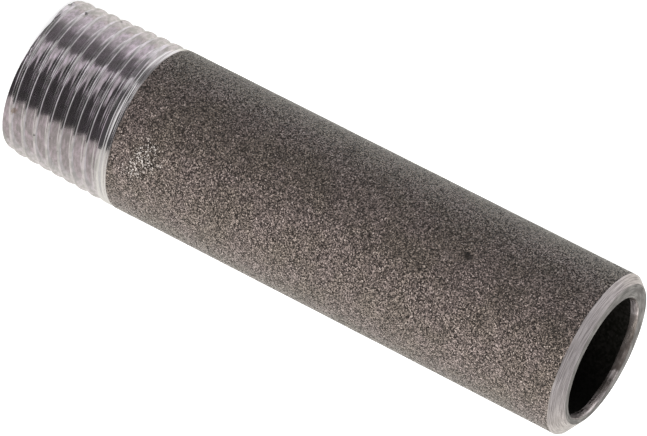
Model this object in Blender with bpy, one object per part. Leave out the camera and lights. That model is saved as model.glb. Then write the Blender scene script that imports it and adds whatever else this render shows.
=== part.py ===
# Steel weld nipple: a short length of pipe with a tapered pipe thread cut on one end
# and a bevel for welding on the other. It stands on its threaded end: +Z points to the
# weld end, and the origin is the centre of the threaded end face. Lengths are in metres.

import math

import bmesh
import bpy

# Tube
OUTSIDE_DIAMETER = 0.0213
WALL_THICKNESS = 0.0028
OVERALL_LENGTH = 0.080

# The bore is scraped to a steep cone inside each mouth
MOUTH_CONE_WIDTH = 0.00015
MOUTH_CONE_DEPTH = 0.0010

# Weld end. The flat land that the bevel leaves lies off the tube's axis, towards -X,
# so the bevel is widest on the +X side.
BEVEL_LENGTH = 0.00115
BEVEL_WIDTH = 0.00135
LAND_OFFSET = 0.00055

# Taper pipe thread R 1/2, right-hand, of Whitworth form. In its gauge plane the crests
# measure 20.955 mm across, a little less than the tube.
THREADS_PER_INCH = 14
INCH = 0.0254
FLANK_ANGLE = math.radians(55)
TAPER_ON_DIAMETER = 1 / 16
GAUGE_ALLOWANCE = 0.000345
GAUGE_LENGTH = 0.0082
THREADED_LENGTH = 0.0161
RUNOUT_LENGTH = 0.0067
FIRST_GROOVE_HEIGHT = 0.00029
LEAD_CHAMFER = 0.0003

# Facets and tool clearance
SEGMENTS = 64
ROOT_STEPS = 4
TOOL_CLEARANCE = 0.0002
SMOOTH_UP_TO = math.radians(33)

# Sizes that follow from the ones above
OUTER_RADIUS = OUTSIDE_DIAMETER / 2
BORE_RADIUS = OUTER_RADIUS - WALL_THICKNESS
GAUGE_RADIUS = (OUTSIDE_DIAMETER - GAUGE_ALLOWANCE) / 2
PITCH = INCH / THREADS_PER_INCH
HALF_ANGLE = FLANK_ANGLE / 2
TRIANGLE_HEIGHT = PITCH / (2 * math.tan(HALF_ANGLE))
THREAD_DEPTH = TRIANGLE_HEIGHT * 2 / 3
ROOT_RADIUS = TRIANGLE_HEIGHT / 6 * math.sin(HALF_ANGLE) / (1 - math.sin(HALF_ANGLE))
RADIUS_SLOPE = TAPER_ON_DIAMETER / 2

# Sides of the tube
MINUS_Y = -math.pi / 2

SCALE_COLOUR = (0.085, 0.075, 0.072, 1)
BRIGHT_COLOUR = (0.42, 0.40, 0.42, 1)


def clear_scene():
    for old in list(bpy.data.objects):
        bpy.data.objects.remove(old)


def steel(name, colour, roughness, metallic):
    material = bpy.data.materials.new(name)
    material.use_nodes = True
    shader = material.node_tree.nodes["Principled BSDF"]
    shader.inputs["Base Color"].default_value = colour
    shader.inputs["Roughness"].default_value = roughness
    shader.inputs["Metallic"].default_value = metallic
    material.diffuse_color = colour
    return material


def crest_radius(height):
    """Radius of the thread's crests at this height, on the cone through the gauge plane."""
    return GAUGE_RADIUS + (height - GAUGE_LENGTH) * RADIUS_SLOPE


def cone_end():
    """Height at which the cone of the crests meets the outside of the tube."""
    return GAUGE_LENGTH + (OUTER_RADIUS - GAUGE_RADIUS) / RADIUS_SLOPE


def blank_outline():
    """(radius, height) round the tube's wall: up the outside and down the bore."""
    mouth = BORE_RADIUS + MOUTH_CONE_WIDTH
    return [
        (mouth, 0),
        (crest_radius(0) - LEAD_CHAMFER, 0),
        (crest_radius(LEAD_CHAMFER), LEAD_CHAMFER),
        (OUTER_RADIUS, cone_end()),
        (OUTER_RADIUS, OVERALL_LENGTH - BEVEL_LENGTH),
        (OUTER_RADIUS - BEVEL_WIDTH, OVERALL_LENGTH),
        (mouth, OVERALL_LENGTH),
        (BORE_RADIUS, OVERALL_LENGTH - MOUTH_CONE_DEPTH),
        (BORE_RADIUS, MOUTH_CONE_DEPTH),
    ]


def turned_blank():
    """Mesh of the tube before threading, turned about Z, with its land moved off centre."""
    mesh = bmesh.new()
    ring = [mesh.verts.new((radius, 0, height)) for radius, height in blank_outline()]
    edges = [mesh.edges.new((ring[i - 1], ring[i])) for i in range(len(ring))]
    bmesh.ops.spin(
        mesh,
        geom=ring + edges,
        cent=(0, 0, 0),
        axis=(0, 0, 1),
        angle=2 * math.pi,
        steps=SEGMENTS,
        use_merge=True,
    )
    bmesh.ops.recalc_face_normals(mesh, faces=mesh.faces)
    middle_of_land = (OUTER_RADIUS - BEVEL_WIDTH + BORE_RADIUS + MOUTH_CONE_WIDTH) / 2
    for vert in mesh.verts:
        on_end_face = vert.co.z > OVERALL_LENGTH - BEVEL_LENGTH / 2
        if on_end_face and vert.co.xy.length > middle_of_land:
            vert.co.x -= LAND_OFFSET
    return mesh


def groove_section():
    """(offset along the axis, height over the root) of the tool: a round root, two flanks."""
    root_half_turn = math.pi / 2 - HALF_ANGLE
    root = []
    for step in range(ROOT_STEPS + 1):
        turn = root_half_turn * (2 * step / ROOT_STEPS - 1)
        root.append((ROOT_RADIUS * math.sin(turn), ROOT_RADIUS * (1 - math.cos(turn))))
    top = THREAD_DEPTH + TOOL_CLEARANCE
    reach = root[-1][0] + (top - root[-1][1]) * math.tan(HALF_ANGLE)
    return [(-reach, top), *root, (reach, top)]


def withdrawal(height):
    """How far the tool has drawn out of the thread, slowly at first and then clear of the tube."""
    start = THREADED_LENGTH - RUNOUT_LENGTH
    share = max(0, (height - start) / RUNOUT_LENGTH)
    whole_way = OUTER_RADIUS - crest_radius(THREADED_LENGTH) + THREAD_DEPTH + TOOL_CLEARANCE / 2
    return whole_way * share**3


def thread_tool():
    """Mesh of the groove's own shape, swept along the tapered helix from below the end face."""
    section = groove_section()
    lowest = -PITCH
    steps = math.ceil((THREADED_LENGTH - lowest) / PITCH * SEGMENTS)
    mesh = bmesh.new()
    rings = []
    for step in range(steps + 1):
        height = lowest + (THREADED_LENGTH - lowest) * step / steps
        turn = MINUS_Y + 2 * math.pi * (height - FIRST_GROOVE_HEIGHT) / PITCH
        root = crest_radius(height) - THREAD_DEPTH + withdrawal(height)
        ring = []
        for offset, rise in section:
            radius = root + rise + offset * RADIUS_SLOPE
            place = (radius * math.cos(turn), radius * math.sin(turn), height + offset)
            ring.append(mesh.verts.new(place))
        rings.append(ring)
    for ring, following in zip(rings, rings[1:]):
        for i in range(len(section)):
            mesh.faces.new((ring[i - 1], ring[i], following[i], following[i - 1]))
    mesh.faces.new(rings[0])
    mesh.faces.new(rings[-1])
    bmesh.ops.recalc_face_normals(mesh, faces=mesh.faces)
    return mesh


def add_object(name, shape, *materials):
    mesh = bpy.data.meshes.new(name)
    for material in materials:
        mesh.materials.append(material)
    shape.to_mesh(mesh)
    shape.free()
    added = bpy.data.objects.new(name, mesh)
    bpy.context.scene.collection.objects.link(added)
    return added


def mark_machined_faces(mesh, slot):
    """Gives the turned cone, the end faces and the bevel the bright finish."""
    for face in mesh.polygons:
        heights = [mesh.vertices[i].co.z for i in face.vertices]
        below_scale = max(heights) <= cone_end() + TOOL_CLEARANCE
        above_scale = min(heights) >= OVERALL_LENGTH - BEVEL_LENGTH - TOOL_CLEARANCE
        if below_scale or above_scale:
            face.material_index = slot


def cut_away(part, tool):
    """Cuts the tool's shape out of the part, whose new faces take the tool's material."""
    cut = part.modifiers.new("cut", "BOOLEAN")
    cut.operation = "DIFFERENCE"
    cut.solver = "EXACT"
    cut.material_mode = "TRANSFER"
    cut.object = tool
    graph = bpy.context.evaluated_depsgraph_get()
    part.data = bpy.data.meshes.new_from_object(part.evaluated_get(graph))
    part.modifiers.clear()
    bpy.data.objects.remove(tool)


def weld_nipple():
    mill_scale = steel("mill_scale", SCALE_COLOUR, roughness=0.62, metallic=0.55)
    bright_steel = steel("bright_steel", BRIGHT_COLOUR, roughness=0.3, metallic=1)

    nipple = add_object("weld_nipple", turned_blank(), mill_scale, bright_steel)
    mark_machined_faces(nipple.data, slot=1)
    cut_away(nipple, add_object("thread_tool", thread_tool(), bright_steel))
    nipple.data.shade_smooth()
    nipple.data.set_sharp_from_angle(angle=SMOOTH_UP_TO)


clear_scene()
weld_nipple()
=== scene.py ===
import math

import bmesh
import bpy
import numpy as np
from mathutils import Matrix, Vector


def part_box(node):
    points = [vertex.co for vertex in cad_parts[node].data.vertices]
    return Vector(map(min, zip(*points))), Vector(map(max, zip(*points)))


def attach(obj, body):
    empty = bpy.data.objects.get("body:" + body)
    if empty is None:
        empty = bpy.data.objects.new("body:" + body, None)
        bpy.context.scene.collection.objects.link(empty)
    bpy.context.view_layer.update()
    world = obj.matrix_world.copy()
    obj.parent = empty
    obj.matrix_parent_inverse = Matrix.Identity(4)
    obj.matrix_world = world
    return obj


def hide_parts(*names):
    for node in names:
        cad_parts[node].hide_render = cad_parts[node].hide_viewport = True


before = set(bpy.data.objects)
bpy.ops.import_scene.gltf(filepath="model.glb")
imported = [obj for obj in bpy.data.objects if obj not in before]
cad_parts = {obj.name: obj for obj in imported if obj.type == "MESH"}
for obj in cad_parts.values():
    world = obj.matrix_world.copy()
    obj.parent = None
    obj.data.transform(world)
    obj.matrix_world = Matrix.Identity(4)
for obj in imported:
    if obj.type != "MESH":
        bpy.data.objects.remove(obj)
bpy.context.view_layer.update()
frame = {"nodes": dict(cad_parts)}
print("frame loaded:", ", ".join(frame["nodes"]))

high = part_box("weld_nipple")[1]
outside = high[0]   # outside radius of the tube
length = high[2]    # from the threaded end face, at the floor, to the weld end
facing = -math.pi / 2   # the -Y side, which faces the camera: sides are counted from it towards +X

# Everything below is in metres, with angles in degrees.
tube = {
    "columns": 240,         # facets round the tube
    "wall": 0.0028,
    "start": 0.0170,        # the body's even rows start at this height
    "end": 0.0020,          # and end this far under the weld end
    "fadeIn": 0.0020,       # height over which roll marks and pits start
    "mergeWithin": 0.0000015,
    "dropUnder": 0.0000005,     # edges shorter than this are closed up
    "sharpFrom": 32,        # angle from which an edge is shaded sharp
    "rowGap": 0.0011,
    "waves": 0.000022,      # deepest roll mark in the scaled surface
    "pits": [               # height, side, half width, depth
        (0.0624, -20, 0.00055, 0.00016),
        (0.0435, -11, 0.00025, 0.00006),
        (0.0669, -33, 0.00030, 0.00005),
        (0.0546, -50, 0.00035, 0.00005),
        (0.0310, 150, 0.00045, 0.00010),
        (0.0570, 118, 0.00030, 0.00006),
    ],
}

thread = {
    "pitch": 0.0254 / 14,
    "flankAngle": 55,
    "slope": 1 / 32,        # of the cone, on radius
    "gaugeRadius": 0.0104775,
    "gaugeHeight": 0.0082,
    "length": 0.0161,
    "runout": 0.0067,       # the part of that length over which the tool draws out
    "firstGroove": 0.00029,  # height of the groove's centre on the -Y side
    "leadChamfer": 0.0003,
    "burrSide": -84,        # the side on which the burr on the end's edge is highest
    "burrUnder": 0.0001,    # how far it stays under the crests there,
    "burrSlope": 0.8,       # how much further with each unit of height,
    "burrWidth": 42,        # and how far round, to either side,
    "burrFall": 0.001,      # it has fallen by this
    "edge": 0.00009,        # reach of the rounding on the crests
    "crown": 0.00006,       # how far the flanks swell in their middle
    "trail": 0.40,          # how much the last groove's upper flank is drawn out
    "drawnOut": 0.0001,     # how far the tool stands clear of the tube at the end
    "ringHeight": 0.0158,   # upper end of the turned band: mean height,
    "ringSwing": 0.0004,    # rise and fall round the tube,
    "ringSide": -25,        # the side on which it is lowest,
    "ringStep": 0.00004,    # step up to the scale
    "ringEdge": 0.00013,    # and width of the bare edge there
    "dents": [              # height, side, half width, depth
        (0.0001, -66, 0.00035, 0.00016),
        (0.0001, -10, 0.00030, 0.00012),
        (0.0066, -75, 0.00022, 0.00008),
        (0.0030, -60, 0.00022, 0.00006),
        (0.0085, 160, 0.00030, 0.00010),
    ],
}

weldEnd = {
    "bevelLength": 0.00115,
    "bevelWidth": 0.00135,
    "landOffset": 0.00055,  # of the land's centre, towards -X
    "skew": 0.00016,        # the bevel starts lower on the +X side than on the -X side by twice this
    "ripple": 0.00005,      # unevenness of the bevel's lower edge
    "edge": 0.00006,
}

mouth = {
    "width": 0.00015,       # of the steep cone to which the bore is scraped inside each end
    "depth": 0.0010,
    "rim": 0.00004,         # chamfer between the cone and the end face
    "ripple": 0.00006,      # unevenness of the cone's deep edge
}


def crestRadius(height):
    # The turned cone's radius grows by 1/32 of the height and stops a small step under the scale.
    cone = thread["gaugeRadius"] + (height - thread["gaugeHeight"]) * thread["slope"]
    return np.minimum(cone, outside - thread["ringStep"])


def runoutShare(centre):
    # Share of the run-out that has gone by, from none at its start to one at the thread's end.
    return np.clip((centre - thread["length"] + thread["runout"]) / thread["runout"], 0, None)


def rootRadius(centre):
    # The groove's floor lies two thirds of the sharp triangle under the cone. Near its end it rises
    # by the cube of the share of the run-out that has gone by, until the tool is clear of the tube.
    cone = thread["gaugeRadius"] + (centre - thread["gaugeHeight"]) * thread["slope"]
    coneAtEnd = thread["gaugeRadius"] + (thread["length"] - thread["gaugeHeight"]) * thread["slope"]
    lift = (outside - coneAtEnd + threadDepth + thread["drawnOut"]) * runoutShare(centre) ** 3
    return cone - threadDepth + lift


def ringTop(turn):
    # Upper end of the turned band: level, less one slow wave round the tube, with a fine ripple.
    side = 2 * np.pi * turn
    wave = np.cos(side - math.radians(thread["ringSide"]))
    ripple = np.sin(11 * side + 2) + np.sin(23 * side) / 2
    return thread["ringHeight"] - thread["ringSwing"] * (wave - ripple / 25)


halfAngle = math.radians(thread["flankAngle"] / 2)
triangle = thread["pitch"] / (2 * math.tan(halfAngle))
threadDepth = triangle * 2 / 3
rootRounding = triangle / 6 * math.sin(halfAngle) / (1 - math.sin(halfAngle))
rootTurn = math.pi / 2 - halfAngle      # half of the turn of the round root
rootReach = rootRounding * math.sin(rootTurn)
rootRise = rootRounding * (1 - math.cos(rootTurn))


def grooveRise(offset):
    # Rise over the groove's floor at a distance from its centre: a circle, then a straight flank.
    away = np.abs(offset)
    circle = rootRounding - np.sqrt(np.clip(rootRounding ** 2 - away ** 2, 0, None))
    flank = rootRise + (away - rootReach) / math.tan(halfAngle)
    return np.where(away < rootReach, circle, flank)


def bells(height, turn, pits):
    # Each pit is a bell: its depth times e to the minus square of the distance over the half width.
    depth = np.zeros(np.broadcast(height, turn).shape)
    for pitHeight, pitSide, halfWidth, pitDeep in pits:
        gap = (turn - pitSide / 360 + 0.5) % 1 - 0.5
        across = gap * 2 * np.pi * outside
        along = height - pitHeight
        spread = (across / halfWidth) ** 2 + (along / halfWidth / 1.2) ** 2
        depth += pitDeep * np.exp(-spread)
    return depth


def threadedRadius(height, turn):
    # Radius at a height and at a share of a turn from the -Y side: the lesser of the cone and of the
    # nearest groove, whose centre climbs one pitch a turn. Where the two differ by less than the edge's
    # reach, a square of what is left of that reach is taken off, which rounds the crest's edge.
    ahead = height - thread["firstGroove"] - turn * thread["pitch"]
    offset = (ahead + thread["pitch"] / 2) % thread["pitch"] - thread["pitch"] / 2
    centre = height - offset
    across = offset * np.where(offset > 0, 1 - thread["trail"] * runoutShare(centre), 1)
    groove = rootRadius(centre) + grooveRise(across) + offset * thread["slope"]
    crest = crestRadius(height) - np.clip(thread["leadChamfer"] - height, 0, None)
    # The flanks swell by a parabola over the depth, with nothing at the crest and at the root.
    deep = np.clip((crest - groove) / threadDepth, 0, 1)
    over = groove - crest + thread["crown"] * 4 * deep * (1 - deep)
    near = np.clip(thread["edge"] - np.abs(over), 0, None)
    rounded = crest + np.minimum(over, 0) - near ** 2 / (4 * thread["edge"])
    # A burr stands on the end's edge where the first groove starts: it falls away with the height,
    # and with the fourth power of the distance round the tube.
    aside = ((turn - thread["burrSide"] / 360 + 0.5) % 1 - 0.5) * 360 / thread["burrWidth"]
    fall = thread["burrUnder"] + height * thread["burrSlope"] + aside ** 4 * thread["burrFall"]
    burr = crestRadius(height) - fall
    return np.maximum(rounded, burr) - bells(height, turn, thread["dents"])


def grooveSide(reach, half, stretch):
    # Offsets from the groove's centre to the middle of the crest: root, flank, rounded edge, crest.
    edge = np.minimum(thread["edge"] * math.tan(halfAngle), reach * 0.3)
    rootEnd = np.minimum(rootReach, reach * 0.6)
    flank = reach - edge - rootEnd
    offsets = [rootEnd * 0.5, rootEnd]
    offsets += [rootEnd + flank * share for share in (0.25, 0.5, 0.75)]
    offsets += [reach + edge * share for share in (-1, -0.5, 0, 0.5, 1)]
    offsets = [np.minimum(offset * stretch, half) for offset in offsets]
    return offsets + [(offsets[-1] + half) / 2]


def threadRows():
    # Grid over (row across the profile, share of a turn). Every row runs along the helix, so the
    # crest edges are clean lines. Heights are held between the lead chamfer and the turned band's
    # end, and the faces that this closes up are dropped later.
    turn = np.linspace(0, 1, tube["columns"] + 1)
    firstTurn = -2
    turns = math.ceil((tube["start"] - thread["firstGroove"]) / thread["pitch"]) + 1
    centre = thread["firstGroove"] + (np.arange(firstTurn, turns)[:, None] + turn) * thread["pitch"]
    depth = np.clip(crestRadius(centre) - rootRadius(centre), 0, None)
    shallow = np.sqrt(np.clip(2 * rootRounding * depth - depth ** 2, 0, None))
    steep = rootReach + (depth - rootRise) * math.tan(halfAngle)
    reach = np.clip(np.where(depth < rootRise, shallow, steep), thread["edge"] / 4, None)
    half = thread["pitch"] / 2
    lower = grooveSide(reach, half, 1)
    upper = grooveSide(reach, half, 1 / (1 - thread["trail"] * np.clip(runoutShare(centre), 0, 1)))
    offsets = [reach * 0 - half, *[-offset for offset in reversed(lower)], reach * 0, *upper]
    heights = np.stack([centre + offset for offset in offsets], axis=1).reshape(-1, turn.size)
    held = np.clip(heights, thread["leadChamfer"], ringTop(turn))
    return held, threadedRadius(held, turn), turn


def rollMarks(height, turn):
    # Shallow unevenness of the rolled skin: a sum of waves, each with a whole number of crests round
    # the tube, shifted so that it only ever lies under the outside radius.
    rng = np.random.default_rng(7)
    waves = np.zeros(np.broadcast(height, turn).shape)
    for _ in range(14):
        around = rng.integers(-9, 10)
        along = rng.uniform(-900, 900)
        start = rng.uniform(0, 2 * np.pi)
        waves += np.cos(2 * np.pi * around * turn + along * height + start)
    return np.clip(waves / 14 + 0.5, 0, 1) * tube["waves"]


def bevelStart(turn):
    # Height of the bevel's lower edge: level, plus one slow wave round the tube and some ripple.
    side = 2 * np.pi * turn
    ripple = np.sin(7 * side + 1) + np.sin(13 * side + 2.6) * 0.6 + np.sin(29 * side) * 0.35
    slow = -weldEnd["skew"] * np.sin(side)
    return length - weldEnd["bevelLength"] + slow + weldEnd["ripple"] * ripple / 2


def bodyHeights():
    # Heights of the body's rows: even ones, and closer ones across each pit.
    even = np.arange(tube["start"], length - tube["end"], tube["rowGap"])
    acrossPit = np.linspace(-2.2, 2.2, 13)  # in half widths
    near = [acrossPit * halfWidth + height for height, _, halfWidth, _ in tube["pits"]]
    rows = np.unique(np.round(np.concatenate([even, *near]), 5))
    rows = rows[rows >= tube["start"]]
    keep = np.concatenate([[True], np.diff(rows) > tube["rowGap"] / 20])
    return rows[keep]


def circleAt(radius, height, turn, shift=0.0):
    # Points at a radius and height round Z, with the circle's centre shifted towards -X.
    side = facing + 2 * np.pi * turn
    x = radius * np.cos(side) - shift
    y = radius * np.sin(side)
    return np.stack(np.broadcast_arrays(x, y, height + 0 * turn), axis=-1)


def between(start, end, shares):
    return [start + (end - start) * share for share in shares]


def shellRows():
    # One closed profile carried round the axis: up the body, over the bevel and the land, down the
    # bore, and out over the threaded end's face to its lead chamfer.
    turn = np.linspace(0, 1, tube["columns"] + 1)
    rows = []
    finish = []

    def add(points, slotName):
        for row in points:
            rows.append(row)
            finish.append(slotName)

    # (share of the bare edge's width, share of the step that is still to rise)
    ring = ringTop(turn)
    add([circleAt(threadedRadius(ring, turn), ring, turn)], "thread")
    for along, left in ((0.25, 0.45), (0.45, 0.08), (1, 0)):
        stepped = outside - thread["ringStep"] * left
        add([circleAt(stepped, ring + thread["ringEdge"] * along, turn)], "turned")
    bodyStart = circleAt(outside, tube["start"], turn)
    add(between(rows[-1], bodyStart, (0.3, 0.6)), "scale")
    start = bevelStart(turn)
    body = []
    for height in bodyHeights():
        fade = np.clip((height - tube["start"]) / tube["fadeIn"], 0, 1)
        radius = outside - fade * (rollMarks(height, turn) + bells(height, turn, tube["pits"]))
        body.append(circleAt(radius, height, turn))
    add(body, "scale")
    edge = weldEnd["edge"]
    last = outside - rollMarks(start, turn) * 0.5
    add([circleAt(last, start - gap, turn) for gap in (0.0006, 0.0002, edge)], "scale")
    landRadius = outside - weldEnd["bevelWidth"]
    bore = outside - tube["wall"]
    coneRadius = bore + mouth["width"]
    lower = circleAt(last - edge * 0.35, start + edge * 0.35, turn)
    upper = circleAt(landRadius, length - edge * 0.5, turn, weldEnd["landOffset"])
    add(between(lower, upper, (0, 0.04, 0.2, 0.4, 0.6, 0.8, 1)), "turned")
    landEdge = circleAt(landRadius - edge, length, turn, weldEnd["landOffset"])
    landInner = circleAt(coneRadius + mouth["rim"], length, turn)
    add([landEdge], "turned")
    add(between(landEdge, landInner, (0.25, 0.5, 0.75, 1)), "land")
    coneTop = circleAt(coneRadius, length - mouth["rim"], turn)
    deepEdge = mouth["ripple"] * np.sin(10 * np.pi * turn) * np.sin(6 * np.pi * turn + 1)
    coneEnd = circleAt(bore, length - mouth["depth"] - deepEdge, turn)
    # The cone flares a little: what is left of its width goes with the square of what is left below.
    add([coneTop], "land")
    for down in (0.2, 0.4, 0.7, 1):
        flare = circleAt(bore + mouth["width"] * (1 - down) ** 2, 0, turn)
        flare[:, 2] = coneTop[:, 2] + (coneEnd[:, 2] - coneTop[:, 2]) * down
        add([flare], "mouth")
    for height in np.linspace(length - tube["end"], tube["end"], 36):
        add([circleAt(bore + rollMarks(height, turn + 0.3) * 2, height, turn)], "bore")
    lowerConeEnd = circleAt(bore, mouth["depth"] + deepEdge, turn)
    lowerConeTop = circleAt(coneRadius, mouth["rim"], turn)
    endInner = circleAt(coneRadius + mouth["rim"], 0, turn)
    endOuter = circleAt(threadedRadius(np.zeros_like(turn), turn), 0, turn)
    add([lowerConeEnd], "bore")
    add(between(lowerConeEnd, lowerConeTop, (0.5, 1)), "mouth")
    add([endInner], "land")
    add(between(endInner, endOuter, (0.25, 0.5, 0.75, 1)), "land")
    for height in np.linspace(0, thread["leadChamfer"], 6)[1:]:
        add([circleAt(threadedRadius(height + 0 * turn, turn), height, turn)], "thread")
    return np.stack(rows), finish


def gridFaces(rows, columns, first):
    # Four corners for each cell of a grid of points, numbered row after row.
    row, column = np.meshgrid(np.arange(rows - 1), np.arange(columns - 1), indexing="ij")
    corner = first + row * columns + column
    quads = np.stack([corner, corner + 1, corner + columns + 1, corner + columns], axis=-1)
    return quads.reshape(-1, 4)


finishes = ["scale", "thread", "turned", "land", "mouth", "bore"]


def nippleMesh():
    heights, radius, turn = threadRows()
    side = facing + 2 * np.pi * turn
    strip = np.stack([radius * np.cos(side), radius * np.sin(side), heights], axis=-1)
    shell, finish = shellRows()
    points = np.concatenate([strip.reshape(-1, 3), shell.reshape(-1, 3)])
    stripFaces = gridFaces(*strip.shape[:2], 0)
    shellFaces = gridFaces(*shell.shape[:2], strip.shape[0] * strip.shape[1])
    stripSlots = np.full(len(stripFaces), finishes.index("thread"))
    shellSlots = np.repeat([finishes.index(name) for name in finish[1:]], tube["columns"])
    mesh = bpy.data.meshes.new("nipple_skin")
    faces = np.concatenate([stripFaces, shellFaces])
    mesh.from_pydata(points.tolist(), [], faces.tolist())
    mesh.polygons.foreach_set("material_index", np.concatenate([stripSlots, shellSlots]))
    welded = bmesh.new()
    welded.from_mesh(mesh)
    bmesh.ops.remove_doubles(welded, verts=welded.verts, dist=tube["mergeWithin"])
    bmesh.ops.dissolve_degenerate(welded, edges=welded.edges, dist=tube["dropUnder"])
    bmesh.ops.recalc_face_normals(welded, faces=welded.faces)
    welded.to_mesh(mesh)
    openEdges = sum(not edge.is_manifold for edge in welded.edges)
    welded.free()
    mesh.shade_smooth()
    mesh.set_sharp_from_angle(angle=math.radians(tube["sharpFrom"]))
    mesh.calc_loop_triangles()
    print("nipple skin:", len(mesh.loop_triangles), "triangles,", openEdges, "open edges")
    return mesh


def addNode(tree, kind, inputs=None, **settings):
    node = tree.nodes.new(kind)
    for name, value in settings.items():
        setattr(node, name, value)
    for name, value in (inputs or {}).items():
        if isinstance(value, bpy.types.NodeSocket):
            tree.links.new(value, node.inputs[name])
        else:
            node.inputs[name].default_value = value
    return node


def reckon(tree, operation, *values):
    return addNode(tree, "ShaderNodeMath", dict(enumerate(values)), operation=operation).outputs[0]


def product(tree, first, *others):
    for other in others:
        first = reckon(tree, "MULTIPLY", first, other)
    return first


def ease(tree, value, fromLow, fromHigh, toLow=0.0, toHigh=1.0):
    ends = {"Value": value, "From Min": fromLow, "From Max": fromHigh, "To Min": toLow, "To Max": toHigh}
    return addNode(tree, "ShaderNodeMapRange", ends, interpolation_type="SMOOTHSTEP").outputs[0]


def blendColours(tree, share, first, second, how="MIX"):
    node = addNode(tree, "ShaderNodeMix", data_type="RGBA", blend_type=how)
    for socket, value in zip((node.inputs[0], node.inputs[6], node.inputs[7]), (share, first, second)):
        if isinstance(value, bpy.types.NodeSocket):
            tree.links.new(value, socket)
        else:
            socket.default_value = value
    return node.outputs[2]


def newGroup(name, inputs, outputs, normals=()):
    # Sockets are given as name: (kind, starting value).
    tree = bpy.data.node_groups.new(name, "ShaderNodeTree")
    for socketName, (kind, start) in inputs.items():
        socket = tree.interface.new_socket(socketName, in_out="INPUT", socket_type=kind)
        socket.default_value = start
    for socketName in outputs:
        tree.interface.new_socket(socketName, in_out="OUTPUT", socket_type="NodeSocketFloat")
    for socketName in normals:
        tree.interface.new_socket(socketName, in_out="OUTPUT", socket_type="NodeSocketVector")
    return tree, addNode(tree, "NodeGroupInput").outputs, addNode(tree, "NodeGroupOutput")


def grainGroup():
    # Crystals of scale: cells that each lean their own way and have their own tone, over fine noise.
    inputs = {
        "Place": ("NodeSocketVector", (0, 0, 0)),
        "Size": ("NodeSocketFloat", 0.0002),
        "Lean": ("NodeSocketFloat", 0.3),
    }
    tree, given, out = newGroup("scaleGrain", inputs, ("Tone", "Height", "Mottle"), ("Facets",))
    fineness = reckon(tree, "DIVIDE", 1.0, given["Size"])
    cells = addNode(tree, "ShaderNodeTexVoronoi", {"Vector": given["Place"], "Scale": fineness})
    random = addNode(tree, "ShaderNodeVectorMath", {0: cells.outputs["Color"], 1: (0.5, 0.5, 0.5)},
                     operation="SUBTRACT").outputs[0]
    lean = addNode(tree, "ShaderNodeVectorMath", {0: random, "Scale": given["Lean"]},
                   operation="SCALE").outputs[0]
    face = addNode(tree, "ShaderNodeNewGeometry").outputs["Normal"]
    tilted = addNode(tree, "ShaderNodeVectorMath", {0: face, 1: lean}, operation="ADD").outputs[0]
    facets = addNode(tree, "ShaderNodeVectorMath", {0: tilted}, operation="NORMALIZE").outputs[0]
    fine = addNode(tree, "ShaderNodeTexNoise",
                   {"Vector": given["Place"], "Scale": reckon(tree, "MULTIPLY", fineness, 0.7), "Detail": 3.0,
                    "Roughness": 0.6}).outputs[0]
    tone = addNode(tree, "ShaderNodeSeparateColor", {"Color": cells.outputs["Color"]}).outputs[1]
    coarse = addNode(tree, "ShaderNodeTexNoise",
                     {"Vector": given["Place"], "Scale": 240.0, "Detail": 5.0, "Roughness": 0.6}).outputs[0]
    mixed = reckon(tree, "MULTIPLY_ADD", tone, 0.4, reckon(tree, "MULTIPLY", fine, 0.6))
    for name, value in (("Tone", mixed), ("Height", fine), ("Mottle", coarse), ("Facets", facets)):
        tree.links.new(value, out.inputs[name])
    return tree


def linesGroup():
    # Tool lines: noise that is stretched round the axis, so it shows as fine rings with ends.
    inputs = {
        "Place": ("NodeSocketVector", (0, 0, 0)),
        "Spacing": ("NodeSocketFloat", 0.00012),
        "Streak": ("NodeSocketFloat", 4.0),
    }
    tree, given, out = newGroup("toolLines", inputs, ("Lines", "Patches", "Tears"))
    parts = addNode(tree, "ShaderNodeSeparateXYZ", {"Vector": given["Place"]}).outputs
    radius = reckon(tree, "SQRT", reckon(tree, "MULTIPLY_ADD", parts[0], parts[0],
                                         reckon(tree, "MULTIPLY", parts[1], parts[1])))
    sideX = reckon(tree, "MULTIPLY", reckon(tree, "DIVIDE", parts[0], radius), given["Streak"])
    sideY = reckon(tree, "MULTIPLY", reckon(tree, "DIVIDE", parts[1], radius), given["Streak"])
    across = reckon(tree, "DIVIDE", reckon(tree, "MULTIPLY_ADD", radius, -1.7, parts[2]), given["Spacing"])
    place = addNode(tree, "ShaderNodeCombineXYZ", {0: sideX, 1: sideY, 2: across}).outputs[0]
    lines = addNode(tree, "ShaderNodeTexNoise",
                    {"Vector": place, "Scale": 1.0, "Detail": 3.0, "Roughness": 0.6})
    wide = reckon(tree, "MULTIPLY", across, 0.08)
    broad = addNode(tree, "ShaderNodeCombineXYZ", {0: sideX, 1: sideY, 2: wide}).outputs[0]
    patches = addNode(tree, "ShaderNodeTexNoise", {"Vector": broad, "Scale": 1.6, "Detail": 3.0})
    fineX = reckon(tree, "MULTIPLY", reckon(tree, "DIVIDE", parts[0], radius), 85.0)
    fineY = reckon(tree, "MULTIPLY", reckon(tree, "DIVIDE", parts[1], radius), 85.0)
    fineZ = reckon(tree, "MULTIPLY", parts[2], 700.0)
    upright = addNode(tree, "ShaderNodeCombineXYZ", {0: fineX, 1: fineY, 2: fineZ})
    tears = addNode(tree, "ShaderNodeTexNoise", {"Vector": upright.outputs[0], "Scale": 1.0, "Detail": 2.0})
    tree.links.new(tears.outputs[0], out.inputs["Tears"])
    tree.links.new(lines.outputs[0], out.inputs["Lines"])
    tree.links.new(patches.outputs[0], out.inputs["Patches"])
    return tree


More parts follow.
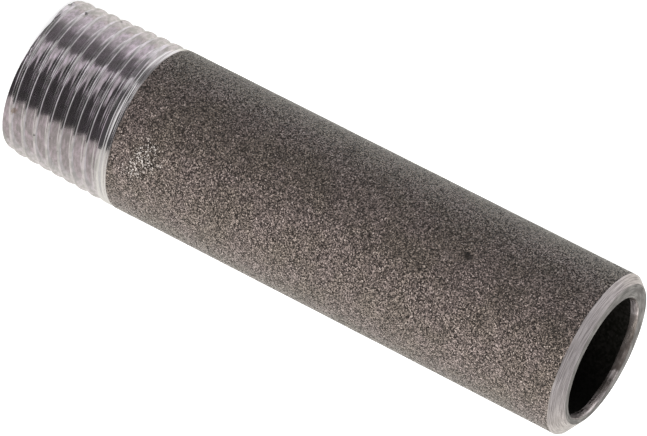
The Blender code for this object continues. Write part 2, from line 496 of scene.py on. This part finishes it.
def markGroup():
    # A ragged spot round one point: full at its centre, and fading out near its reach.
    inputs = {
        "Place": ("NodeSocketVector", (0, 0, 0)),
        "Centre": ("NodeSocketVector", (0, 0, 0)),
        "Reach": ("NodeSocketFloat", 0.001),
    }
    tree, given, out = newGroup("spotMark", inputs, ("Mask",))
    away = addNode(tree, "ShaderNodeVectorMath", {0: given["Place"], 1: given["Centre"]},
                   operation="DISTANCE")
    rag = addNode(tree, "ShaderNodeTexNoise", {"Vector": given["Place"], "Detail": 3.0,
                                               "Scale": reckon(tree, "DIVIDE", 1.7, given["Reach"])})
    share = reckon(tree, "DIVIDE", away.outputs["Value"], given["Reach"])
    ragged = reckon(tree, "MULTIPLY_ADD", reckon(tree, "SUBTRACT", rag.outputs[0], 0.5), 2.0, share)
    tree.links.new(ease(tree, ragged, 1.0, 0.35), out.inputs["Mask"])
    return tree


groups = {"grain": grainGroup(), "lines": linesGroup(), "mark": markGroup()}


def allMarks(tree, place, marks, inBore=False):
    # The strongest of several spots, each given as height, side and reach.
    total = 0.0
    for height, side, reach in marks:
        turn = facing + math.radians(side)
        radius = outside - tube["wall"] if inBore else float(crestRadius(height))
        spot = addNode(tree, "ShaderNodeGroup", {}, node_tree=groups["mark"])
        tree.links.new(place, spot.inputs["Place"])
        spot.inputs["Centre"].default_value = (radius * math.cos(turn), radius * math.sin(turn), height)
        spot.inputs["Reach"].default_value = reach
        total = reckon(tree, "MAXIMUM", spot.outputs[0], total)
    return total


def newMaterial(name):
    material = bpy.data.materials.new(name)
    material.use_nodes = True
    tree = material.node_tree
    place = addNode(tree, "ShaderNodeTexCoord").outputs["Object"]
    return material, tree, tree.nodes["Principled BSDF"], place


def useGroup(tree, name, place, **values):
    node = addNode(tree, "ShaderNodeGroup", node_tree=groups[name])
    tree.links.new(place, node.inputs["Place"])
    for socket, value in values.items():
        node.inputs[socket].default_value = value
    return node.outputs


scaleFinish = {
    "grainSize": 0.00013,
    "lean": 0.95,
    "tones": (0.37, 0.86),      # of the grain, over which a crystal goes from dark to light
    "dark": (0.030, 0.024, 0.021, 1),
    "light": (0.48, 0.392, 0.350, 1),
    "flecks": (0.67, 0.83),     # of the grain, over which the brightest crystals stand out
    "fleck": (0.74, 0.66, 0.61, 1),
    "mottleDark": (0.90, 0.885, 0.84, 1),
    "mottleLight": (1.08, 1.04, 1.07, 1),
    "roughness": (0.12, 0.32),
    "metallic": 0.2,
    "relief": 0.00002,
    "stain": (0.012, 0.009, 0.007, 1),
    "stainStrength": 0.8,
    # Painted glints: a bright colour laid on the light crystals in a few spots, standing in for highlights.
    "paintedGlint": (0.8, 0.74, 0.70, 1),
    "paintedGlintTones": (0.45, 0.75),   # of the crystals, over which they take part in the painted glints
    "stains": [(0.0624, -20, 0.0007), (0.0435, -11, 0.0002), (0.0669, -33, 0.0003), (0.0546, -50, 0.0004),
               (0.0160, -22, 0.0004), (0.0310, 150, 0.0006), (0.0570, 118, 0.0004)],
    # Spots of painted glints, each given as height, side and reach.
    "paintedGlints": [(0.0203, 17, 0.0022), (0.0192, 31, 0.0017), (0.0675, -18, 0.0003), (0.0400, 165, 0.0030)],
}


def scaleMaterial():
    material, tree, shader, place = newMaterial("mill_scale")
    grain = useGroup(tree, "grain", place, Size=scaleFinish["grainSize"], Lean=scaleFinish["lean"])
    tone = ease(tree, grain["Tone"], *scaleFinish["tones"])
    colour = blendColours(tree, tone, scaleFinish["dark"], scaleFinish["light"])
    fleck = ease(tree, grain["Tone"], *scaleFinish["flecks"])
    colour = blendColours(tree, fleck, colour, scaleFinish["fleck"])
    mottle = blendColours(tree, ease(tree, grain["Mottle"], 0.35, 0.65), scaleFinish["mottleDark"],
                          scaleFinish["mottleLight"])
    colour = blendColours(tree, 1.0, colour, mottle, "MULTIPLY")
    stain = product(tree, allMarks(tree, place, scaleFinish["stains"]), scaleFinish["stainStrength"])
    colour = blendColours(tree, stain, colour, scaleFinish["stain"])
    # Painted glints: the light crystals inside the glint spots are painted bright, as highlights.
    paintedGlintShare = ease(tree, tone, *scaleFinish["paintedGlintTones"])
    paintedGlint = product(tree, allMarks(tree, place, scaleFinish["paintedGlints"]), paintedGlintShare)
    colour = blendColours(tree, paintedGlint, colour, scaleFinish["paintedGlint"])
    tree.links.new(colour, shader.inputs["Base Color"])
    smooth, rough = scaleFinish["roughness"]
    tree.links.new(ease(tree, tone, 0.0, 1.0, rough, smooth), shader.inputs["Roughness"])
    shader.inputs["Metallic"].default_value = scaleFinish["metallic"]
    bump = addNode(tree, "ShaderNodeBump", {"Height": grain["Height"], "Normal": grain["Facets"],
                                            "Distance": scaleFinish["relief"]})
    tree.links.new(bump.outputs[0], shader.inputs["Normal"])
    return material


steelFinish = {
    "thread": {"colour": (0.80, 0.735, 0.785, 1), "shade": (0.50, 0.46, 0.49, 1),
               "patch": (0.54, 0.525, 0.52, 1),
               "roughness": (0.09, 0.17), "spacing": 0.00009, "streak": 5.0, "lines": 0.4, "patches": 0.85,
               "relief": 0.0000015, "tears": 0.0000025, "metallic": 1.0},
    "turned": {"colour": (0.80, 0.735, 0.74, 1), "shade": (0.30, 0.265, 0.27, 1),
               "patch": (0.52, 0.475, 0.46, 1),
               "roughness": (0.24, 0.40), "spacing": 0.00015, "streak": 3.0, "lines": 0.9, "patches": 0.4,
               "relief": 0.000014, "tears": 0.000002, "metallic": 1.0},
    "land": {"colour": (0.40, 0.38, 0.38, 1), "shade": (0.12, 0.11, 0.11, 1), "patch": (0.22, 0.205, 0.20, 1),
             "roughness": (0.30, 0.50), "spacing": 0.00013, "streak": 3.0, "lines": 0.9, "patches": 0.8,
             "relief": 0.000014, "tears": 0.000002, "metallic": 1.0},
    "mouth": {"colour": (0.40, 0.35, 0.33, 1), "shade": (0.10, 0.08, 0.07, 1),
              "patch": (0.15, 0.125, 0.115, 1),
              "roughness": (0.22, 0.42), "spacing": 0.00020, "streak": 3.6, "lines": 0.7, "patches": 0.95,
              "relief": 0.00003, "tears": 0.000006, "metallic": 0.8},
    "freshFrom": (0.0143, 0.0145),  # heights between which the thread's last, bright band starts
    "fresh": (0.92, 0.90, 0.90, 1),
    "freshStrength": 0.8,
    # Painted highlight in the mouth: a bright colour laid on the scraped cone in a few spots where it shows
    # light.
    "paintedMouthHighlight": (1.0, 0.90, 0.90, 1),
    "paintedMouthHighlightStrength": 0.9,
    "rust": (0.28, 0.19, 0.12, 1),
    "rustStrength": 0.6,
    "nick": (0.02, 0.018, 0.02, 1),
    "nickStrength": 0.85,
    # Spots of the mouth's painted highlight, each given as height, side and reach.
    "paintedMouthHighlights": [(0.0797, 115, 0.0050), (0.0797, 92, 0.0030), (0.0797, 138, 0.0026), (0.0797, 170, 0.0010),
                  (0.0797, 243, 0.0030)],
    "nicks": [(0.0002, -66, 0.0008), (0.0003, -68, 0.0005), (0.0001, -64, 0.0005), (0.0001, -10, 0.0006),
              (0.0066, -75, 0.0004), (0.0030, -60, 0.0004),
              (0.0049, 44, 0.0003), (0.0082, 46, 0.0004), (0.0110, 170, 0.0005)],
    "rusty": [(0.0016, 34, 0.0007), (0.0125, 140, 0.0006)],
}


def steelMaterial(name, finish):
    material, tree, shader, place = newMaterial(name)
    lines = useGroup(tree, "lines", place, Spacing=finish["spacing"], Streak=finish["streak"])
    patch = product(tree, ease(tree, lines["Patches"], 0.36, 0.64), finish["patches"])
    colour = blendColours(tree, patch, finish["colour"], finish["patch"])
    if finish is steelFinish["thread"]:
        height = addNode(tree, "ShaderNodeSeparateXYZ", {"Vector": place}).outputs[2]
        fresh = product(tree, ease(tree, height, *steelFinish["freshFrom"]), steelFinish["freshStrength"])
        colour = blendColours(tree, fresh, colour, steelFinish["fresh"])
    # Painted highlight: the mouth's cone is painted bright in a few spots.
    if finish is steelFinish["mouth"]:
        paintedMouthHighlights = allMarks(tree, place, steelFinish["paintedMouthHighlights"], inBore=True)
        paintedMouthHighlights = product(tree, paintedMouthHighlights, steelFinish["paintedMouthHighlightStrength"])
        colour = blendColours(tree, paintedMouthHighlights, colour, steelFinish["paintedMouthHighlight"])
    shade = product(tree, ease(tree, lines["Lines"], 0.60, 0.34), finish["lines"])
    colour = blendColours(tree, shade, colour, finish["shade"])
    rust = product(tree, allMarks(tree, place, steelFinish["rusty"]), steelFinish["rustStrength"])
    colour = blendColours(tree, rust, colour, steelFinish["rust"])
    nick = product(tree, allMarks(tree, place, steelFinish["nicks"]), steelFinish["nickStrength"])
    colour = blendColours(tree, nick, colour, steelFinish["nick"])
    tree.links.new(colour, shader.inputs["Base Color"])
    smooth, rough = finish["roughness"]
    tree.links.new(ease(tree, lines["Patches"], 0.3, 0.7, smooth, rough), shader.inputs["Roughness"])
    shader.inputs["Metallic"].default_value = finish["metallic"]
    torn = addNode(tree, "ShaderNodeBump", {"Height": lines["Tears"], "Distance": finish["tears"]})
    bump = addNode(tree, "ShaderNodeBump", {"Height": lines["Lines"], "Normal": torn.outputs[0],
                                            "Distance": finish["relief"]})
    tree.links.new(bump.outputs[0], shader.inputs["Normal"])
    return material


# Scale inside the bore: dark scale, with its colour painted down to nearly black as painted shade deep in the
# tube.
boreScaleAndShade = {
    "dark": (0.003, 0.003, 0.002, 1),
    "light": (0.010, 0.009, 0.008, 1),
    "grainSize": 0.0003,
    "lean": 0.3,
}


def boreScaleAndShadeMaterial():
    # Nearly black, barely reflecting scale: the bore's dark scale and painted shade in one.
    material, tree, shader, place = newMaterial("bore_scale_and_shade")
    grain = useGroup(tree, "grain", place, Size=boreScaleAndShade["grainSize"], Lean=boreScaleAndShade["lean"])
    colour = blendColours(tree, ease(tree, grain["Tone"], 0.3, 0.75), boreScaleAndShade["dark"], boreScaleAndShade["light"])
    tree.links.new(colour, shader.inputs["Base Color"])
    tree.links.new(ease(tree, grain["Mottle"], 0.3, 0.7, 0.75, 0.95), shader.inputs["Roughness"])
    shader.inputs["Specular IOR Level"].default_value = 0.1
    bump = addNode(tree, "ShaderNodeBump", {"Height": grain["Height"], "Normal": grain["Facets"],
                                            "Distance": 0.00003})
    tree.links.new(bump.outputs[0], shader.inputs["Normal"])
    return material


def addNipple():
    nipple = bpy.data.objects.new("nipple_skin", nippleMesh())
    bpy.context.scene.collection.objects.link(nipple)
    nipple.data.materials.append(scaleMaterial())
    nipple.data.materials.append(steelMaterial("cut_thread", steelFinish["thread"]))
    nipple.data.materials.append(steelMaterial("turned_bevel", steelFinish["turned"]))
    nipple.data.materials.append(steelMaterial("faced_end", steelFinish["land"]))
    nipple.data.materials.append(steelMaterial("scraped_mouth", steelFinish["mouth"]))
    nipple.data.materials.append(boreScaleAndShadeMaterial())
    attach(nipple, "root")
    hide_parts("weld_nipple")
    print("nipple finished with", len(nipple.data.materials), "materials")


studio = {
    "floorSize": 6.0,
    "floorColour": (0.86, 0.86, 0.86, 1),
    "floorLift": 0.70,      # added to the floor where it is seen, so that it shows white
    "tableSide": (0.624, 0.739, 0.254),
    "tableTint": (1.0, 0.99, 0.92, 1),
    "ambient": (0.14, 1.02),    # away from the table and on its side
    "keySide": (0.76, -0.55, 0.30),
    "keyDistance": 1.1,
    "keySize": 0.9,
    "keyPower": 13.8,
}


def addFloor():
    mesh = bpy.data.meshes.new("floor")
    half = studio["floorSize"] / 2
    corners = [(-half, -half, 0), (half, -half, 0), (half, half, 0), (-half, half, 0)]
    mesh.from_pydata(corners, [], [(0, 1, 2, 3)])
    floor = bpy.data.objects.new("floor", mesh)
    bpy.context.scene.collection.objects.link(floor)
    material, tree, shader, _ = newMaterial("pale_floor")
    shader.inputs["Base Color"].default_value = studio["floorColour"]
    shader.inputs["Roughness"].default_value = 0.9
    shader.inputs["Specular IOR Level"].default_value = 0.0
    path = addNode(tree, "ShaderNodeLightPath").outputs
    seen = reckon(tree, "MAXIMUM", path["Is Camera Ray"],
                  reckon(tree, "MAXIMUM", path["Is Glossy Ray"], path["Is Transmission Ray"]))
    shader.inputs["Emission Color"].default_value = (1, 1, 1, 1)
    tree.links.new(reckon(tree, "MULTIPLY", seen, studio["floorLift"]), shader.inputs["Emission Strength"])
    mesh.materials.append(material)
    floor.visible_glossy = False


def addWorld():
    world = bpy.data.worlds.new("studio")
    bpy.context.scene.world = world
    world.use_nodes = True
    tree = world.node_tree
    background = tree.nodes["Background"]
    direction = addNode(tree, "ShaderNodeTexCoord").outputs["Generated"]

    def towards(target):
        aim = Vector(target).normalized()
        cosine = addNode(tree, "ShaderNodeVectorMath", {0: direction, 1: aim}, operation="DOT_PRODUCT")
        return cosine.outputs["Value"]

    # What metal mirrors: the table, a room that is lighter on one side, a light over the weld end,
    # one in front, one behind, and a window low in front with a narrow strip beside it. Each is given
    # as the cosines to a direction between which it changes, and its brightness before and after.
    upward = towards((0, 0, 1))
    side = towards((-0.80, 0.55, -0.25))
    below = towards(studio["tableSide"])
    onTable = product(tree, ease(tree, below, -0.02, 0.06), ease(tree, upward, 0.95, 0.30))
    table = product(tree, onTable, ease(tree, below, -0.1, 0.8, 0.66, 0.86))
    glow = ease(tree, side, 0.70, 1.0, 0.0, 0.74)
    room = reckon(tree, "ADD", ease(tree, side, -0.2, 0.75, 0.08, 0.23), glow)
    dip = ease(tree, upward, 0.75, 0.98, 0.0, 0.2)
    endLight = reckon(tree, "SUBTRACT", ease(tree, upward, 0.30, 0.60, 0.0, 0.66), dip)
    frontLight = ease(tree, towards((0.10, -0.86, 0.50)), 0.80, 0.93, 0.0, 0.90)
    rightOfEdge = ease(tree, towards((0.643, -0.766, 0)), -0.02, 0.03)
    lowPart = reckon(tree, "MAXIMUM", ease(tree, upward, -0.40, -0.48),
                     ease(tree, towards((-0.866, 0.5, 0)), -0.06, 0.06, 0.0, 0.8))
    pane = ease(tree, towards((-0.394, -0.682, -0.616)), 0.857, 0.899, 0.0, 0.92)
    slant = ease(tree, towards((-0.758, -0.4255, 0.493)), 0.07, 0.13)
    window = product(tree, pane, rightOfEdge, slant, lowPart)
    backLight = ease(tree, towards((-0.95, 0.22, 0.22)), 0.80, 0.96, 0.0, 0.95)
    beside = ease(tree, towards((0.766, -0.643, 0)), 0.03, -0.03, 0.0, 0.50)
    strip = product(tree, beside, rightOfEdge, ease(tree, upward, 0.25, 0.10))
    mirrored = room
    for lit in (endLight, frontLight, backLight, window, strip, table):
        mirrored = reckon(tree, "MAXIMUM", mirrored, lit)
    path = addNode(tree, "ShaderNodeLightPath").outputs
    white = reckon(tree, "MAXIMUM", path["Is Camera Ray"], path["Is Transmission Ray"])
    glossy = reckon(tree, "MULTIPLY", path["Is Glossy Ray"], mirrored)
    seen = reckon(tree, "MAXIMUM", white, glossy)
    other = reckon(tree, "SUBTRACT", 1.0, reckon(tree, "MAXIMUM", white, path["Is Glossy Ray"]))
    ambient = ease(tree, below, -0.7, 0.9, *studio["ambient"])
    strength = reckon(tree, "MULTIPLY_ADD", other, ambient, seen)
    tinted = reckon(tree, "MULTIPLY", path["Is Glossy Ray"], onTable)
    colour = blendColours(tree, tinted, (1, 1, 1, 1), studio["tableTint"])
    tree.links.new(colour, background.inputs["Color"])
    tree.links.new(strength, background.inputs["Strength"])


def addKey():
    light = bpy.data.lights.new("soft_key", "AREA")
    light.shape = "SQUARE"
    light.size = studio["keySize"]
    light.energy = studio["keyPower"]
    key = bpy.data.objects.new("soft_key", light)
    bpy.context.scene.collection.objects.link(key)
    aim = Vector(studio["keySide"]).normalized()
    key.location = Vector((0, 0, length / 2)) + aim * studio["keyDistance"]
    key.rotation_euler = aim.to_track_quat("Z", "Y").to_euler()
    key.visible_glossy = False


photoView = {
    "target": (0.0002256, 0.0, 0.040509),
    "elevation": 19.8825,
    "roll": 116.9805,
    "distance": 0.722005,
    "lens": 332.85,
}


def addCamera():
    data = bpy.data.cameras.new("photo_view")
    data.sensor_width = 36
    data.lens = photoView["lens"]
    camera = bpy.data.objects.new("photo_view", data)
    bpy.context.scene.collection.objects.link(camera)
    elevation = math.radians(photoView["elevation"])
    roll = math.radians(photoView["roll"])
    back = Vector((0, -math.cos(elevation), math.sin(elevation)))
    level = Vector((1, 0, 0))
    upright = back.cross(level)
    right = level * math.cos(roll) + upright * math.sin(roll)
    up = back.cross(right)
    turned = Matrix((right, up, back)).transposed().to_4x4()
    place = Vector(photoView["target"]) + back * photoView["distance"]
    camera.matrix_world = Matrix.Translation(place) @ turned
    bpy.context.scene.camera = camera


bpy.context.scene.view_settings.view_transform = "Standard"
addCamera()
addNipple()
addFloor()
addWorld()
addKey()
print("studio ready")
